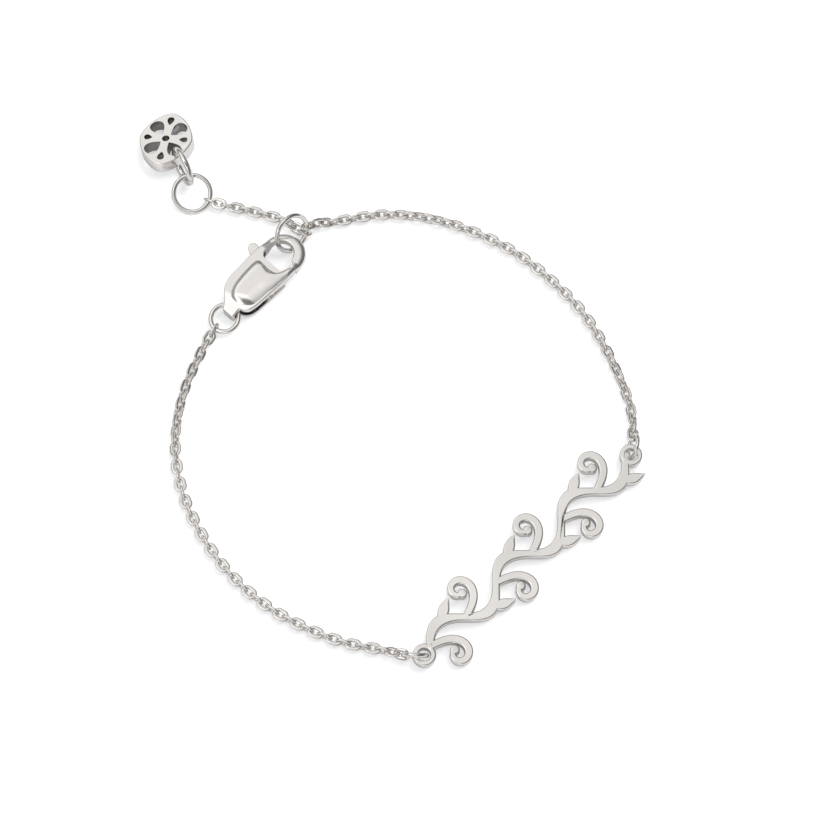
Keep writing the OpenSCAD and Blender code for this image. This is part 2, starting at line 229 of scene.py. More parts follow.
def noise(tree, place, scale, detail):
    """A soft noise on the object's own coordinates, with a scale per metre."""
    cloud = tree.nodes.new("ShaderNodeTexNoise")
    cloud.inputs["Scale"].default_value = scale
    cloud.inputs["Detail"].default_value = detail
    tree.links.new(place.outputs["Object"], cloud.inputs["Vector"])
    return cloud.outputs["Fac"]


def bumped(tree, height, strength, depth):
    """A bump whose relief is a height times a depth in metres."""
    bump = tree.nodes.new("ShaderNodeBump")
    bump.inputs["Strength"].default_value = strength
    bump.inputs["Distance"].default_value = depth
    tree.links.new(height, bump.inputs["Height"])
    return bump


def silver(name, least_rough, most_rough, clouds, grain, depth, sway=0.0, colour=(0.89, 0.865, 0.84)):
    """Metal with roughness between two values by a soft noise, and a fine bump over a broad one that
    stands for handwork's slow waves. Noise scales are per metre, depths in metres."""
    material = bpy.data.materials.new(name)
    material.use_nodes = True
    tree = material.node_tree
    shader = tree.nodes["Principled BSDF"]
    shader.inputs["Base Color"].default_value = (*colour, 1)
    shader.inputs["Metallic"].default_value = 1.0
    place = tree.nodes.new("ShaderNodeTexCoord")
    spread = tree.nodes.new("ShaderNodeMapRange")
    for socket, number in (("From Min", CLOUD_SPAN[0]), ("From Max", CLOUD_SPAN[1]),
                           ("To Min", least_rough), ("To Max", most_rough)):
        spread.inputs[socket].default_value = number
    tree.links.new(noise(tree, place, clouds, CLOUD_DETAIL), spread.inputs["Value"])
    tree.links.new(spread.outputs["Result"], shader.inputs["Roughness"])
    bump = bumped(tree, noise(tree, place, grain, GRAIN_DETAIL), GRAIN_STRENGTH, depth)
    wave = bumped(tree, noise(tree, place, SWAY_SCALE, 0.0), 1.0, sway)
    tree.links.new(wave.outputs["Normal"], bump.inputs["Normal"])
    tree.links.new(bump.outputs["Normal"], shader.inputs["Normal"])
    return material


BUFFED = silver("buffed_silver", 0.10, 0.17, 260, 900, 0.000008, sway=0.0003)
TUMBLED = silver("tumbled_silver", 0.05, 0.11, 500, 2500, 0.000004, colour=(0.83, 0.805, 0.78))
CAST = silver("cast_silver", 0.12, 0.20, 350, 1200, 0.000008, sway=0.00008)
# Painted shade: the walls inside the tag's openings get a much darker colour that stands in for the shade
# falling in them; the higher roughness is their duller finish
PAINTED_SHADE_SILVER = silver("painted_shade_silver", 0.18, 0.32, 500, 2500, 0.00001, colour=(0.46, 0.45, 0.44))
print("finishes:", [m.name for m in (BUFFED, TUMBLED, CAST, PAINTED_SHADE_SILVER)])

# %% [markdown]
# ## From arrays to pieces
# Every shape below starts as two arrays: points and faces. One helper puts them into a mesh. Another gives
# the finished piece its silver and hides the solid that it stands for. Faces are shaded smooth, except
# across edges sharper than a chosen angle, and large flat faces keep their own direction.

# %% Mesh helpers
def mesh_of(name, points, quads, caps=()):
    """Mesh from points in mm on the drawing, four-cornered faces and a few many-cornered caps."""
    mesh = bpy.data.meshes.new(name)
    faces = np.asarray(quads).tolist() + [list(cap) for cap in caps]
    mesh.from_pydata((np.asarray(points) * MM).tolist(), [], faces)
    mesh.update()
    thing = bpy.data.objects.new(name, mesh)
    bpy.context.scene.collection.objects.link(thing)
    return thing


def finish_piece(thing, material, node, body="bracelet", sharp=40.0, flat=False):
    """Smooth shading with crisp edges, a finish where there is none, a place on its body, and the solid that
    it stands for hidden.
    """
    mesh = thing.data
    if not any(mesh.materials):
        mesh.materials.clear()
        mesh.materials.append(material)
    mesh.polygons.foreach_set("use_smooth", np.ones(len(mesh.polygons), bool))
    mesh.set_sharp_from_angle(angle=math.radians(sharp))
    if flat:
        weighted = thing.modifiers.new("weighted", "WEIGHTED_NORMAL")
        weighted.keep_sharp = True
        bake(thing)
    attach(thing, body)
    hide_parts(node)
    triangles = sum(len(p.vertices) - 2 for p in thing.data.polygons)
    print(f"{thing.name}: {triangles} triangles")
    return thing


# %% Helpers for modifiers
def bake(thing):
    """Replaces a piece's mesh by what its modifiers make of it."""
    bpy.context.view_layer.update()
    shaped = thing.evaluated_get(bpy.context.evaluated_depsgraph_get())
    mesh = bpy.data.meshes.new_from_object(shaped)
    thing.modifiers.clear()
    old, thing.data = thing.data, mesh
    bpy.data.meshes.remove(old)


def combine(base, others, operation):
    """Joins, cuts or intersects closed meshes with the base, and removes the others."""
    for other in others:
        step = base.modifiers.new("step", "BOOLEAN")
        step.solver = "MANIFOLD"
        step.operation = operation
        step.object = other
    bake(base)
    for other in others:
        data = other.data
        bpy.data.objects.remove(other)
        bpy.data.meshes.remove(data)
    return base

# %% [markdown]
# ## Turning and placing
# A piece is drawn lying flat at its own centre and then turned into place. The turns are plain
# 3 by 3 arrays, made for one angle or for a whole row of angles at once.

# %% Turns
def turn(axis, degrees):
    """Turning matrices about X, Y or Z; one for each angle in the array."""
    a = np.radians(np.atleast_1d(np.asarray(degrees, float)))
    c, s, o, i = np.cos(a), np.sin(a), np.zeros_like(a), np.ones_like(a)
    rows = {"x": [[i, o, o], [o, c, -s], [o, s, c]],
            "y": [[c, o, s], [o, i, o], [-s, o, c]],
            "z": [[c, -s, o], [s, c, o], [o, o, i]]}[axis]
    return np.moveaxis(np.array(rows), 2, 0)


def placed(points, steps, centre):
    """Points turned by each step in order, the last one first, then moved to a centre."""
    whole = np.eye(3)
    for axis, degrees in steps:
        whole = whole @ turn(axis, degrees)[0]
    return np.asarray(points) @ whole.T + np.asarray(centre) + DRAWING_POINT


def grid_faces(rows, columns):
    """Faces of a grid that closes on itself both ways: each point with its right and upper neighbour."""
    r, c = np.meshgrid(np.arange(rows), np.arange(columns), indexing="ij")
    r2, c2 = (r + 1) % rows, (c + 1) % columns
    corners = [r * columns + c, r2 * columns + c, r2 * columns + c2, r * columns + c2]
    return np.stack(corners, -1).reshape(-1, 4)


def stacked_faces(levels, count):
    """Walls between outlines stacked from the lowest up, and a cap on the first and the last of them."""
    ring = np.arange(count)
    ahead = (ring + 1) % count
    walls = [np.stack([k * count + ring, k * count + ahead, (k + 1) * count + ahead,
                       (k + 1) * count + ring], -1) for k in range(levels - 1)]
    return np.concatenate(walls), [ring[::-1].tolist(), ((levels - 1) * count + ring).tolist()]

# %% [markdown]
# ## Jump rings
# A jump ring is round wire bent into a circle: a torus. It is a surface of two angles, one round the ring
# and one round the wire. A grid of the two gives smooth, even faces, where a solid's mesh is facets.

# %% Rings
RING_WIRE, END_WIRE, CHARM_WIRE, SMALL_WIRE = 0.56, 0.56, 0.75, 0.48
# columns: node, middle, lean from flat, turn of the leaning axis, radius to the wire's middle, wire
RINGS = [
    ("clasp_ring", (-21.583, 11.502, 1.035), 11.2, -41.1, 1.6, RING_WIRE),
    ("closure_ring", (-14.058, 21.678, 2.213), 62.7, 45.4, 2.16, RING_WIRE),
    ("end_ring", (-25.631, 27.33, 1.063), 20.8, 2.0, 2.12, END_WIRE),
    ("charm_ring", (-26.71, 30.141, 2.435), 86.88, -62.1, 2.05, CHARM_WIRE),
    ("plate_ring_right", (24.323, -4.472, 1.515), 70.4, -96.0, 1.34, SMALL_WIRE),
    ("plate_ring_left", (0.003, -29.158, 1.524), 71.1, 177.9, 1.34, SMALL_WIRE),
]


def torus(radius, wire, around=144, across=28):
    """Circle of the radius in the flat plane, with a circle of the wire's size carried round it."""
    u, v = np.meshgrid(np.linspace(0, 2 * np.pi, around, endpoint=False),
                       np.linspace(0, 2 * np.pi, across, endpoint=False), indexing="ij")
    reach = radius + wire / 2 * np.cos(v)
    points = np.stack([reach * np.cos(u), reach * np.sin(u), wire / 2 * np.sin(v)], -1).reshape(-1, 3)
    return points, grid_faces(around, across)


for node, centre, lean, heading, radius, wire in RINGS:
    points, faces = torus(radius, wire)
    ring = mesh_of(node + "_wire", placed(points, [("z", heading), ("x", lean)], centre), faces)
    finish_piece(ring, TUMBLED, node, sharp=60)

# %% [markdown]
# ## Cable chain
# Each link is an oval of wire whose faces are pressed a little flat. The links sit evenly along a route and
# each is turned a quarter from the one before, so that it passes through its neighbours. The route
# is a short table of places; a smooth curve through them, the rolls of the links and their rest on the
# table all come from formulas worked on whole arrays. One strand is one mesh.

# %% Route of a strand
LINK_LENGTH, LINK_WIDTH, LINK_WIRE = 1.88, 1.4, 0.3
# Largest step from one link to the next, and the height of a resting link over the table
LINK_STEP, FLOOR_GAP = 1.1, 0.03
# Points of a smooth curve for each row of its table
ROUTE_STEPS = 12
# columns: x, y, lift over the resting height, roll of the even links
ROUTE_RIGHT = [(24.344, -2.952, 0.449, 9.3), (24.343, -0.453, 0.018, 45.5), (23.7, 2.5, 0, 45),
               (21.6, 7.7, 0, 10), (18.9, 12.5, 0, 0), (15.3, 16.6, 0, 0), (11.3, 20, 0, 0),
               (6.6, 22.6, 0, 0), (1.5, 24.3, 0, 20), (-3.8, 24.75, 0, 0), (-9.3, 23.85, 0, 0),
               (-10.874, 23.558, 0.353, 26.3), (-12.178, 22.962, 0.753, 23.4)]
ROUTE_LEFT = [(-22.757, 10.132, -0.003, 90.9), (-24.023, 7.812, 0.035, 50.2), (-26.05, 2.4, 0, 45),
              (-26.8, -3.4, 0, 30), (-26, -9.2, 0, 0), (-23.8, -14.4, 0, 0), (-20.8, -18.9, 0, 0),
              (-17, -22.6, 0, 0), (-12.7, -25.35, 0, 0), (-8.1, -27.3, 0, 0),
              (-3.514, -28.311, 0.022, -7.4), (-1.456, -28.895, 0.438, -49.7)]
ROUTE_EXTENDER = [(-12.655, 22.472, 0.168, 34.6), (-13.489, 23.117, -0.058, 48.2), (-15.7, 24.3, 0, 0),
                  (-19.6, 25.4, 0, 0), (-22.38, 25.96, 0.308, -18), (-23.474, 26.442, 0.106, -19.6)]


def blend(a, b, c, d, t):
    """Place at share t of the way from b to c, with the cubic weights that pass smoothly through both."""
    return 0.5 * (2 * b + t * (c - a) + t**2 * (2 * a - 5 * b + 4 * c - d)
                  + t**3 * (3 * b - a - 3 * c + d))


def smooth(table):
    """Curve through a table's rows: each stretch blends its four nearest rows."""
    rows = np.array(table, float)
    padded = np.vstack([2 * rows[0] - rows[1], rows, 2 * rows[-1] - rows[-2]])
    t = np.arange(ROUTE_STEPS)[:, None] / ROUTE_STEPS
    curve = blend(*(padded[k:len(rows) - 1 + k][:, None] for k in range(4)), t)
    return np.vstack([curve.reshape(-1, rows.shape[1]), rows[-1]])


def link_places(table):
    """Centres and turning matrices of a strand's links, evenly spaced along its curve."""
    rows = smooth(table)
    roll = np.radians(rows[:, 3])
    rest = (LINK_WIDTH - LINK_WIRE) / 2 * np.maximum(abs(np.sin(roll)), abs(np.cos(roll)))
    way = np.column_stack([rows[:, :2], rows[:, 2] + rest + LINK_WIRE / 2 + FLOOR_GAP])
    at = np.concatenate([[0], np.cumsum(np.linalg.norm(np.diff(way, axis=0), axis=1))])
    count = math.ceil(at[-1] / LINK_STEP) + 1
    s = np.linspace(0, at[-1], count)

    def along(where):
        return np.stack([np.interp(where, at, way[:, k]) for k in range(3)], -1)

    step = along(np.minimum(s + LINK_STEP / 2, at[-1])) - along(np.maximum(s - LINK_STEP / 2, 0))
    yaw = np.degrees(np.arctan2(step[:, 1], step[:, 0]))
    pitch = np.degrees(np.arctan2(step[:, 2], np.hypot(step[:, 0], step[:, 1])))
    rolls = np.interp(s, at, rows[:, 3]) + 90 * (np.arange(count) % 2)
    return along(s), turn("z", yaw) @ turn("y", -pitch) @ turn("x", rolls)

# %% One link, and a strand of them
# Power that flattens the wire's round section: 1 is round
PRESSED = 0.7
# Width of the wire in the link's plane, at its ends and at its sides
LINK_BROAD = (0.38, 0.44)
LINK_AROUND, LINK_ACROSS = 32, 16


def oval_wire():
    """An oval of two half circles and two straights, with a wire of squarish section carried along it.
    The section is an oval whose cosine and sine are raised to a power below one, which flattens it."""
    straight = (LINK_LENGTH - LINK_WIDTH) / 2
    u = np.linspace(0, 2 * np.pi, LINK_AROUND, endpoint=False) + np.pi / LINK_AROUND
    outward = np.stack([np.cos(u), np.sin(u), np.zeros_like(u)], -1)
    broad = (LINK_BROAD[0] + (LINK_BROAD[1] - LINK_BROAD[0]) * np.sin(u) ** 2)[:, None]
    along_x = np.sign(np.cos(u))[:, None] * np.array([1, 0, 0])
    middle = (LINK_WIDTH - broad) / 2 * outward + straight * along_x
    v = np.linspace(0, 2 * np.pi, LINK_ACROSS, endpoint=False) + np.pi / LINK_ACROSS
    across = broad / 2 * np.sign(np.cos(v)) * abs(np.cos(v)) ** PRESSED
    upward = LINK_WIRE / 2 * np.sign(np.sin(v)) * abs(np.sin(v)) ** PRESSED
    points = (middle[:, None] + across[..., None] * outward[:, None]
              + upward[None, :, None] * np.array([0, 0, 1]))
    return points.reshape(-1, 3), grid_faces(LINK_AROUND, LINK_ACROSS)


def strand(node, table):
    """One mesh of all the links of a strand: the same oval at each place."""
    centres, turns = link_places(table)
    points, faces = oval_wire()
    many = np.einsum("kij,pj->kpi", turns, points) + centres[:, None] + DRAWING_POINT
    shifts = np.arange(len(centres))[:, None, None] * len(points)
    piece = mesh_of(node + "_links", many.reshape(-1, 3), (faces[None] + shifts).reshape(-1, 4))
    print(node, "has", len(centres), "links")
    return finish_piece(piece, TUMBLED, node, sharp=60)


strand("chain_right", ROUTE_RIGHT)
strand("chain_left", ROUTE_LEFT)
strand("extender_chain", ROUTE_EXTENDER)

# %% [markdown]
# ## Slabs with soft rims
# The plate, the clasp, its lever and the tag are all flat metal with edges that polishing has rounded.
# A slab is an outline stepped inwards along its own normals while it rises along a quarter circle. Turned
# inside out, the same steps make a cutter that flares at its ends, so a hole gets a soft rim as well.

# %% Slab
RIM_STEPS = 5
# Millimetres below which two points count as one, and the least cosine that a corner's normal is divided by
DOUBLED, LEAST_COSINE = 1e-4, 0.6


def outward_normals(outline):
    """Normal at each corner: the sum of the two edges' normals, lengthened so both edges shift evenly."""
    edge = np.roll(outline, -1, 0) - outline
    normal = np.stack([edge[:, 1], -edge[:, 0]], -1) / np.linalg.norm(edge, axis=1)[:, None]
    both = normal + np.roll(normal, 1, 0)
    both /= np.linalg.norm(both, axis=1)[:, None]
    stretch = np.maximum((both * normal).sum(1), LEAST_COSINE)
    return both / stretch[:, None]


def wound_left(outline):
    """The outline with its points in counter-clockwise order and no doubled points."""
    outline = np.asarray(outline, float)
    outline = outline[np.linalg.norm(outline - np.roll(outline, 1, 0), axis=1) > DOUBLED]
    x, y = outline.T
    area = (x * np.roll(y, -1) - np.roll(x, -1) * y).sum()
    return outline if area > 0 else outline[::-1]


def slab(name, outline, low, high, rim=0.0, place=None):
    """Closed outline between two heights. Its rims are quarter circles: inset rim*(1-cos a), rise rim*sin a.
    A negative rim flares outwards, for a cutter."""
    outline = wound_left(outline)
    normals = outward_normals(outline)
    rims = np.broadcast_to(np.asarray(rim, float), (len(outline),))
    a = np.linspace(0, np.pi / 2, RIM_STEPS + 1) if np.any(rims) else np.zeros(1)
    inset = np.concatenate([(1 - np.cos(a))[::-1], 1 - np.cos(a)])
    drop = np.concatenate([(1 - np.sin(a))[::-1], 1 - np.sin(a)])
    top = np.arange(len(inset)) >= len(a)
    flat = outline[None] - inset[:, None, None] * rims[None, :, None] * normals[None]
    height = np.where(top[:, None], high - drop[:, None] * abs(rims), low + drop[:, None] * abs(rims))
    points = np.concatenate([flat, height[..., None]], -1)
    sides, caps = stacked_faces(*points.shape[:2])
    points = points.reshape(-1, 3)
    return mesh_of(name, place(points) if place else points, sides, caps)


def disc(radius, centre=(0, 0), around=48):
    """Points of a circle."""
    a = np.linspace(0, 2 * np.pi, around, endpoint=False)
    return np.stack([centre[0] + radius * np.cos(a), centre[1] + radius * np.sin(a)], -1)


def rectangle(x, y, far_x, far_y):
    """Corners of a rectangle between two opposite corners."""
    return [(x, y), (far_x, y), (far_x, far_y), (x, far_y)]

# %% [markdown]
# ## The plate
# The plate is one flat piece: a waving stem, with a scroll and a leaf on every half wave, and an eyelet
# at each end. A scroll's bend grows with its length, so its heading is a running sum of bends and its path a
# running sum of steps. Each stroke becomes a slab with a soft rim, and all of them are fused.

# %% Strokes of the plate
PLATE_AT, PLATE_TURN, PLATE_LEAN = (1, -29.1, 1.15), 45.7, 4.0
PLATE_SPAN, PLATE_THICK = 33.0, 1.05
STEM_WAVES, STEM_LEAD, STEM_SWING, STEM_STEPS = 6, 0.9, 1.55, 28
STEM_THIN, STEM_WIDE = 0.85, 1.35
WAVE_LENGTH = (PLATE_SPAN - 2 * STEM_LEAD) / STEM_WAVES
EYELET_OUTER, EYELET_HOLE = 2.6, 1.4
# Soft rim of the plate, and the most of a stroke's width or an end ball's radius that a rim may take
PLATE_RIM, RIM_OF_WIDTH, RIM_OF_BALL = 0.2, 0.3, 0.5
# How far a cutter passes the faces that it opens, and how far it flares there
CUT_PAST, EYELET_FLARE = 0.01, -0.15
# columns: where along the half wave, turn off the stem, length, first bend, last bend (1/mm),
# how late the bend grows, first width, last width, swelling in the middle, radius of the end ball
SCROLL = (0.04, -58, 8.6, 0.02, 1.5, 1.2, 0.85, 0.65, 0.25, 0.55)
LEAF = (0.6, 38, 2.6, -0.25, 0.35, 1, 0.6, 0.25, 0.85, 0.12)
# Steps for each millimetre of a stroke
STROKE_DENSITY = 6


def stem(t):
    """The stem's middle line: a sine wave. Returns x, y, heading in degrees and width."""
    slope = STEM_SWING * np.pi * np.cos(np.pi * t)
    heading = np.degrees(np.arctan2(slope, WAVE_LENGTH))
    width = STEM_THIN + (STEM_WIDE - STEM_THIN) * np.sin(np.pi * t) ** 2
    return STEM_LEAD + WAVE_LENGTH * t, STEM_SWING * np.sin(np.pi * t), heading, width


def ribbon(x, y, heading, width):
    """Outline of a stroke: its left side out and its right side back, half a width off the middle line."""
    a = np.radians(heading)
    off = np.stack([-np.sin(a), np.cos(a)], -1) * np.asarray(width)[:, None] / 2
    middle = np.stack([x, y], -1)
    return np.concatenate([middle + off, (middle - off)[::-1]])


def branch(half_wave, shape):
    """Path of a scroll or leaf: heading by a running sum of bends, place by a running sum of steps."""
    where, off, length, first, last, late, wide, narrow, swelling, _ = shape
    hand = 1 if half_wave % 2 == 0 else -1
    x, y, heading, _ = stem(np.array(half_wave + where))
    steps = math.ceil(length * STROKE_DENSITY)
    s = (np.arange(steps) + 0.5) / steps
    bend = first + (last - first) * s**late
    a = heading + hand * off - hand * np.degrees(np.cumsum(bend) * length / steps)
    a = np.concatenate([[heading + hand * off], a])
    px = x + np.concatenate([[0], np.cumsum(np.cos(np.radians(a[1:])))]) * length / steps
    py = y + np.concatenate([[0], np.cumsum(np.sin(np.radians(a[1:])))]) * length / steps
    along = np.linspace(0, 1, steps + 1)
    return px, py, a, wide + (narrow - wide) * along + swelling * np.sin(np.pi * along)


def on_plate(points):
    """Moves points drawn flat along the plate's middle line to where the plate lies."""
    return placed(points, [("z", PLATE_TURN), ("x", PLATE_LEAN)], PLATE_AT)

# %% The plate, fused
low, high = -PLATE_THICK / 2, PLATE_THICK / 2
t = np.linspace(0, STEM_WAVES, STEM_WAVES * STEM_STEPS + 1)
plate = slab("nameplate_scrollwork", ribbon(*stem(t)), low, high, PLATE_RIM, on_plate)
strokes = []
for half_wave in range(STEM_WAVES):
    for shape in (SCROLL, LEAF):
        px, py, heading, width = branch(half_wave, shape)
        rims = np.minimum(PLATE_RIM, np.concatenate([width, width[::-1]]) * RIM_OF_WIDTH)
        strokes.append(slab("stroke", ribbon(px, py, heading, width), low, high, rims, on_plate))
        ball = shape[-1]
        ball_rim = min(PLATE_RIM, ball * RIM_OF_BALL)
        strokes.append(slab("ball", disc(ball, (px[-1], py[-1]), 32), low, high, ball_rim, on_plate))
for x in (0, PLATE_SPAN):
    strokes.append(slab("eyelet", disc(EYELET_OUTER / 2, (x, 0), 64), low, high, PLATE_RIM, on_plate))
combine(plate, strokes, "UNION")
holes = [slab("hole", disc(EYELET_HOLE / 2, (x, 0)), low - CUT_PAST, high + CUT_PAST, EYELET_FLARE, on_plate)
         for x in (0, PLATE_SPAN)]
combine(plate, holes, "DIFFERENCE")
finish_piece(plate, BUFFED, "nameplate", flat=True)

# %% [markdown]
# ## Clasp body
# A lobster clasp is a small casting. Its frame runs round the hook and along the spine; a pillow-shaped
# swelling covers the lever's works on both faces. The frame is a slab whose thickness follows its length,
# thin at the tail and the hook. The window, the lever's slot and the ring's hole are cut out of it,
# and the pillows are domes: copies of one outline, each drawn in towards a ridge line and higher than
# the last. A pillow swells softly from the front edge and steps up at its other sides.

# %% Clasp outlines
CLASP_AT, CLASP_TURN, CLASP_LIFT = (-21.22, 12.2, 1.28), 48.0, 2.5
CLASP_HALF, CLASP_DEEP, TAIL_DEEP, HOOK_DEEP = 2.55, 1.0, 0.69, 0.6
HOOK_X, WINDOW_X = 9.35, 7.38
PIVOT = np.array([5.2, -1.4])
GATE_REACH, GATE_GAP = 3.64, 0.08
SLOT_HALF, LEVER_GAP, PILLOW_RISE = 0.5, 0.08, 0.4
# Half height of the ring's hole through the tail; radius and depth of the holes that hold the pin's ends
TAIL_HOLE_HALF, SOCKET_RADIUS, SOCKET_DEEP = 0.42, 0.44, 0.3
# Outline of the tail, from the spine round the tail's end to the front edge
TAIL = [(3.3, 2.55), (2.57, 2.45), (2, 2.25), (1.5, 1.9), (1, 1.43), (0.4, 0.9), (-0.32, 0.42),
        (-0.32, -1.1), (0.8, -1.05), (0.98, -1.35), (1.2, -1.75), (1.6, -2.05), (2.2, -2.22), (3, -2.32),
        (6.3, -2.55)]
# How many points of TAIL are the spine's side; the rest are the front's. The smooth curve through them has
# more points than it needs, so one in TAIL_KEEP is kept.
TAIL_END, TAIL_KEEP = 7, 4
# Outline of a pillow, and how steeply it rises from each point: 2 is an even swell, 4 almost a step
# columns: x, y, steepness, height over the flat face where it starts
PILLOW = [(6.2, 1.62, 4, -0.02), (6.75, 1.3, 3.5, -0.02), (6.74, 0.6, 3, -0.02), (6.66, -0.2, 2.5, -0.02),
          (6.85, -1.1, 2, -0.02), (7.4, -1.55, 2, -0.02), (8.15, -1.85, 2, -0.02), (8.5, -2.3, 2, -0.06),
          (7.6, -2.52, 2, -0.12), (6.3, -2.53, 2.2, -0.12), (4.6, -2.42, 2.2, -0.12), (3, -2.29, 2, -0.12),
          (2.1, -1.95, 2, -0.08), (1.5, -1.2, 2, -0.06), (1.25, -0.2, 2.5, -0.06), (1.5, 0.8, 4, -0.04),
          (2.6, 1.4, 4, -0.02), (4.4, 1.62, 4, -0.02)]
# The line inside a pillow that its outline shrinks towards. columns: x, y, share of the full rise
RIDGE = [(2.7, -0.3, 1), (4.3, -0.35, 1), (5.6, -0.6, 1), (6.6, -1.45, 0.6), (7.7, -2.1, 0.25)]


def arc(centre, radius, start, stop, steps):
    """Points of an arc between two angles in degrees."""
    a = np.radians(np.linspace(start, stop, steps + 1))
    return np.stack([centre[0] + radius * np.cos(a), centre[1] + radius * np.sin(a)], -1)


# Share of the gap below which a point is too close to the last one to be kept
TOO_CLOSE = 0.3


def dense(outline, gap):
    """The same outline with points about the gap apart, and none much closer together."""
    outline = np.asarray(outline, float)
    closed = np.vstack([outline, outline[:1]])
    at = np.concatenate([[0], np.cumsum(np.linalg.norm(np.diff(closed, axis=0), axis=1))])
    where = np.unique(np.concatenate([at[:-1], np.arange(0, at[-1], gap)]).round(4))
    where = where[np.concatenate([[True], np.diff(where) > gap * TOO_CLOSE])]
    return np.stack([np.interp(where, at, closed[:, k]) for k in range(2)], -1)


# Half thickness along the clasp: thin at the tail, full over the lever, thin again at the hook
DEPTH_AT, DEPTHS = [-0.3, 1.6, 8.2, 9.4], [TAIL_DEEP, CLASP_DEEP, CLASP_DEEP, HOOK_DEEP]


def thinned(points):
    """Scales each point's height by the thickness that the clasp has at its length."""
    points = np.array(points)
    points[:, 2] *= np.interp(points[:, 0], DEPTH_AT, DEPTHS) / CLASP_DEEP
    return points


def on_clasp(points):
    """Moves points drawn along the clasp's length to where the clasp lies."""
    return placed(points, [("z", CLASP_TURN), ("y", -CLASP_LIFT)], CLASP_AT)

# %% Cutting edges and bending
def sliced(thing, xs):
    """Cuts edges into a mesh at each length, so that it can bend there."""
    work = bmesh.new()
    work.from_mesh(thing.data)
    for x in xs:
        bmesh.ops.bisect_plane(work, geom=work.verts[:] + work.edges[:] + work.faces[:], dist=1e-9,
                               plane_co=(x * MM, 0, 0), plane_no=(1, 0, 0))
    work.to_mesh(thing.data)
    work.free()


def reshape(thing, change):
    """Puts a mesh's points through a function of points in mm."""
    count = len(thing.data.vertices)
    flat = np.empty(count * 3)
    thing.data.vertices.foreach_get("co", flat)
    thing.data.vertices.foreach_set("co", (change(flat.reshape(-1, 3) / MM) * MM).ravel())
    thing.data.update()


# %% Clasp frame
# Step along an outline, fine enough for its rim to change softly
OUTLINE_GAP = 0.3
# How soft the frame's rim is along the clasp: crisp by the tail, almost round at the hook
SOFT_AT, SOFT_RIMS = [7.5, 10], [0.16, 0.8]
# How far the window's rim flares along the clasp, and how far its cutter passes the faces
FLARE_AT, FLARES, WINDOW_PAST = [WINDOW_X, 8.6, 10], [0.06, 0.1, 0.3], 0.02
tail_curves = [smooth(TAIL[:TAIL_END])[::TAIL_KEEP], smooth(TAIL[TAIL_END:])[::TAIL_KEEP]]
hook_arc = arc((HOOK_X, 0), CLASP_HALF, -90, 90, 48)
frame_outline = wound_left(dense(np.concatenate([hook_arc, *tail_curves]), OUTLINE_GAP))
soft = np.interp(frame_outline[:, 0], SOFT_AT, SOFT_RIMS)
clasp = slab("clasp_casting", frame_outline, -CLASP_DEEP, CLASP_DEEP, soft)
window = np.concatenate([[(WINDOW_X, -1.34), (WINDOW_X, 1.06), (7.5, 1.38), (7.75, 1.62), (8.1, 1.74)],
                         arc((9.2, 0.3), 1.5, 90, -75, 32), [(9.34, -1.27), (8.94, -1.78), (8.7, -2.14)]])
window = wound_left(dense(window, OUTLINE_GAP))
flare = -np.interp(window[:, 0], FLARE_AT, FLARES)
cutter = slab("window", window, -CLASP_DEEP - WINDOW_PAST, CLASP_DEEP + WINDOW_PAST, flare)
combine(clasp, [cutter], "DIFFERENCE")
# Edges cut where the thickness changes: along the tail, and closer together along the hook's root
sliced(clasp, np.concatenate([np.arange(-0.3, 1.7, 0.38), [1.6], np.arange(8.2, 9.45, 0.15)]))
reshape(clasp, thinned)
print("points round the frame:", len(frame_outline))

# %% Pillows
# Copies of the outline in a dome, and the power that crowds them towards the foot
DOME_STEPS, DOME_CROWDING = 14, 1.5
# How far a pillow's foot sinks into the flat body, so that the two can be fused
PILLOW_FOOT = 0.25


def rounded(outline, per_side=6):
    """A closed smooth curve through the outline's points, with any further columns carried along."""
    rows = np.asarray(outline, float)
    t = np.arange(per_side)[:, None] / per_side
    curve = blend(*(np.roll(rows, k, 0)[:, None] for k in (1, 0, -1, -2)), t)
    return curve.reshape(-1, rows.shape[1])


def nearest_on(line, points):
    """For each point, the closest row of a line that is cut into short steps; all its columns."""
    line = smooth(line)
    far = np.linalg.norm(points[:, None, :2] - line[None, :, :2], axis=2)
    return line[far.argmin(1)]


def pillow(face):
    """Dome on one face: the outline shrinks to the ridge line by 1-t while it rises by 1-(1-t)^steepness."""
    outline = rounded(PILLOW)[::-1]
    ridge = nearest_on(RIDGE, outline)
    t = np.concatenate([[0.0], np.linspace(0, 1, DOME_STEPS)[:-1] ** DOME_CROWDING])[:, None]
    flat = ridge[None, :, :2] + (1 - t)[..., None] * (outline[:, :2] - ridge[:, :2])[None]
    top, base = CLASP_DEEP + PILLOW_RISE * ridge[:, 2], CLASP_DEEP + outline[:, 3]
    height = base + (top - base) * (1 - (1 - t) ** outline[:, 2])
    height[0] = CLASP_DEEP - PILLOW_FOOT
    points = np.concatenate([flat, height[..., None]], -1)
    sides, caps = stacked_faces(*points.shape[:2])
    points = points.reshape(-1, 3)
    if face < 0:
        points = points * [1, 1, -1]
        sides, caps = sides[:, ::-1], [c[::-1] for c in caps]
    return mesh_of("pillow", points, sides, caps)


combine(clasp, [pillow(1), pillow(-1)], "UNION")
print("faces with the pillows:", len(clasp.data.polygons))

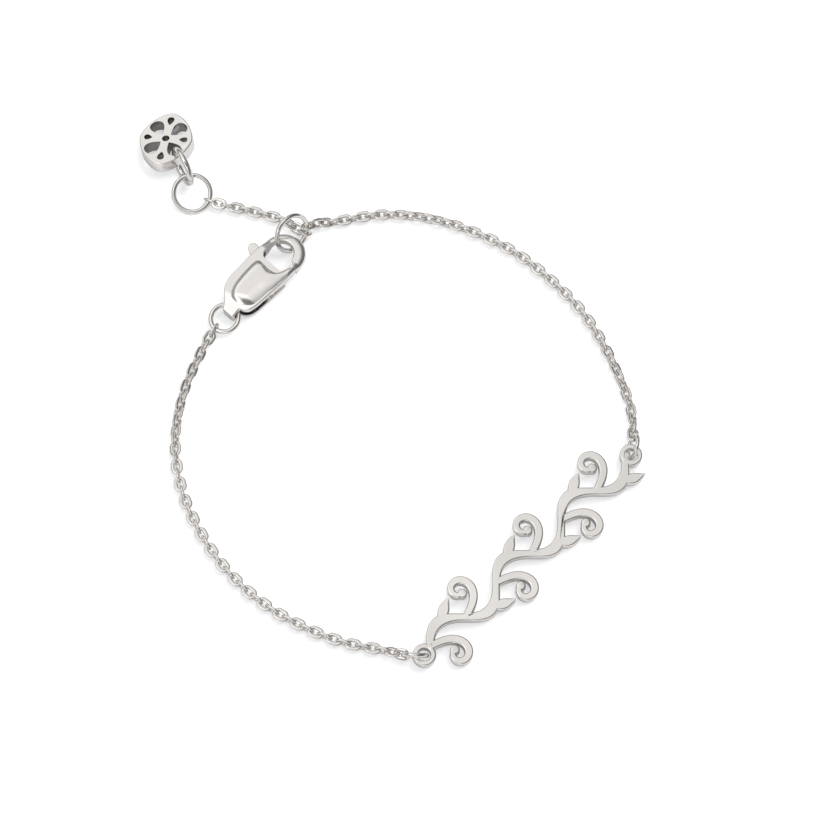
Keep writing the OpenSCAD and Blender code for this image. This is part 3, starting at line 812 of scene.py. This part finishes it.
# %% Slot, tail hole and the gap at the gate
# A thin crescent parts the gate's tip from the hook, and the casting is open under the gate.
# Half height of a cutter that passes all of the clasp, and of one that passes such a cutter
PAST_CLASP, PAST_CUTTER = 2, 3
slot_outline = [(1.7, -3), (9.5, -3), (9.5, -1.2), (WINDOW_X + 0.1, 0), (WINDOW_X + 0.1, 1.2), (7.2, 1.7),
                (1.7, 1.7)]
sweep = disc(GATE_REACH + GATE_GAP, PIVOT, 128)
slot_part = slab("slot", slot_outline, -SLOT_HALF, SLOT_HALF)
combine(slot_part, [slab("sweep", sweep, -PAST_CLASP, PAST_CLASP)], "INTERSECT")
tab_way = slab("tab_way", rectangle(4.45, 1.2, 8.2, 3.2), -SLOT_HALF, SLOT_HALF)
tail_hole = slab("tail_hole", rectangle(0.04, -3, 1.74, 3), -TAIL_HOLE_HALF, TAIL_HOLE_HALF)
gap = slab("gap", rectangle(8, -3, 9.5, -1.4), -PAST_CLASP, PAST_CLASP)
combine(gap, [slab("sweep", sweep, -PAST_CUTTER, PAST_CUTTER)], "INTERSECT")
combine(gap, [slab("gate", disc(GATE_REACH, PIVOT, 128), -PAST_CUTTER, PAST_CUTTER)], "DIFFERENCE")
under = slab("under", rectangle(6.85, -3, 9.85, -1.3), -PAST_CLASP, 0)
combine(under, [slab("sweep", sweep, -PAST_CUTTER, PAST_CUTTER)], "INTERSECT")
socket_half = SLOT_HALF + SOCKET_DEEP
socket = slab("socket", disc(SOCKET_RADIUS, PIVOT, 32), -socket_half, socket_half)
combine(clasp, [slot_part, tab_way, tail_hole, gap, under, socket], "DIFFERENCE")
reshape(clasp, on_clasp)
finish_piece(clasp, CAST, "clasp_body", flat=True, sharp=38)

# %% [markdown]
# ## Lever and pin
# The lever is stamped flat: a round hub on the pin, an arm that closes the hook, and a round-ended thumb tab
# that sticks out through the spine. It is drawn closed; it turns with the body "lever", about the pin.
# The pin hides inside the casting, so its own solid stays and only takes the finish.

# %% Lever
TAB, TAB_RADIUS = np.array([7.65, 3.14]), 0.62
HUB_RADIUS, BORE_RADIUS, LEVER_RIM, ARM_RIM = 0.95, 0.45, 0.12, 0.1
ARM = [(4.8, -2.25), (6.4, -2.45), (9, -2.4), (9, -1.58), (7.45, -1.42), (6, -0.7)]
# Half height of a cutter that passes all of the lever
PAST_LEVER = 1
lever_deep = SLOT_HALF - LEVER_GAP
lever = slab("clasp_lever_arm", disc(HUB_RADIUS, PIVOT), -lever_deep, lever_deep, LEVER_RIM)
arm = slab("arm", ARM, -lever_deep, lever_deep, ARM_RIM)
combine(arm, [slab("reach", disc(GATE_REACH, PIVOT, 128), -PAST_LEVER, PAST_LEVER)], "INTERSECT")
line = (TAB - PIVOT) / np.linalg.norm(TAB - PIVOT)
across = np.array([-line[1], line[0]]) * TAB_RADIUS
neck_outline = [PIVOT - across, TAB - across, TAB + across, PIVOT + across]
neck = slab("neck", neck_outline, -lever_deep, lever_deep, LEVER_RIM)
tab = slab("tab", disc(TAB_RADIUS, TAB), -lever_deep, lever_deep, LEVER_RIM)
combine(lever, [arm, neck, tab], "UNION")
combine(lever, [slab("bore", disc(BORE_RADIUS, PIVOT, 32), -PAST_LEVER, PAST_LEVER)], "DIFFERENCE")
reshape(lever, on_clasp)
finish_piece(lever, CAST, "clasp_lever", body="lever", flat=True)
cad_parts["clasp_pin"].data.materials.clear()
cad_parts["clasp_pin"].data.materials.append(TUMBLED)
print("pin finish:", TUMBLED.name)

# %% [markdown]
# ## Tag
# The tag hangs from its ring by one of its own openings. Its outline is a cushion, between a lozenge and an
# ellipse, and petals round a small hole pierce it, so that its thick walls show. A slab with a soft rim
# gives the cushion, then flared cutters open the petals. The walls inside an opening can't be buffed, so
# the cutters carry a duller finish, and with it a painted shade: a much darker colour that stands in for the
# shade inside the openings. They leave both on every wall that they cut.

# %% Tag
CHARM_AT, CHARM_SLOPE, CHARM_LEAN, CHARM_TURN = (-28.675, 33.665, 1.527), -58.8, 12.8, -10.3
CHARM_THICK, CHARM_RIM, CHARM_HOLE = 1.6, 0.16, 0.8
CHARM_HALF_WIDTH, CHARM_HALF_LENGTH, CHARM_BULGE = 3.15, 3.8, 1.65
# columns: middle x, middle y, turn, length, width; the rest are mirror images
PETALS = [(1.2, 1.36, 50, 2.1, 1.6), (2.1, 0, 0, 0.9, 0.7), (0, 2.55, 90, 1.1, 0.75)]
# Makes a petal's widest place as wide as asked
PETAL_FILL = 0.77
HOLE_FLARE, PETAL_FLARE = -0.08, -0.07


def on_charm(points):
    """Moves points drawn flat on the tag to where it leans on its ring."""
    steps = [("z", CHARM_SLOPE), ("y", -CHARM_LEAN), ("z", CHARM_TURN - CHARM_SLOPE)]
    return placed(points, steps, CHARM_AT)


def petal(x, y, heading, length, width, steps=48):
    """Petal with its round end outwards: an ellipse whose width is pinched by sin(a / 2)."""
    a = np.linspace(0, 2 * np.pi, steps, endpoint=False)
    flat = np.stack([-length / 2 * np.cos(a), width / 2 * np.sin(a) * np.sin(a / 2) / PETAL_FILL, 0 * a], -1)
    return (flat @ turn("z", heading)[0].T)[:, :2] + (x, y)


def cushion(steps=128):
    """Outline between a lozenge and an ellipse: an ellipse's cosine and sine raised to a power above one."""
    a = np.linspace(0, 2 * np.pi, steps, endpoint=False)
    c, s = np.cos(a), np.sin(a)
    return np.stack([CHARM_HALF_WIDTH * np.sign(c) * abs(c) ** (2 / CHARM_BULGE),
                     CHARM_HALF_LENGTH * np.sign(s) * abs(s) ** (2 / CHARM_BULGE)], -1)


charm_low, charm_high = -CHARM_THICK / 2, CHARM_THICK / 2
past_faces = (charm_low - CUT_PAST, charm_high + CUT_PAST)
charm = slab("charm_tag", cushion(), charm_low, charm_high, CHARM_RIM, on_charm)
cutters = [slab("hole", disc(CHARM_HOLE / 2), *past_faces, HOLE_FLARE, on_charm)]
for shape in PETALS:
    for x_side in (1, -1) if shape[0] else (1,):
        for y_side in (1, -1) if shape[1] else (1,):
            outline = petal(*shape) * (x_side, y_side)
            cutters.append(slab("petal", outline, *past_faces, PETAL_FLARE, on_charm))
# The cutters' faces take the painted-shade silver, a much darker colour for the shade inside the openings,
# and the cut leaves it on the walls
for thing in [charm] + cutters:
    thing.data.materials.append(BUFFED)
    thing.data.materials.append(PAINTED_SHADE_SILVER)
    slots = np.full(len(thing.data.polygons), int(thing is not charm))
    thing.data.polygons.foreach_set("material_index", slots)
combine(charm, cutters, "DIFFERENCE")
print("faces in the openings:", sum(face.material_index for face in charm.data.polygons))
finish_piece(charm, BUFFED, "charm", flat=True)
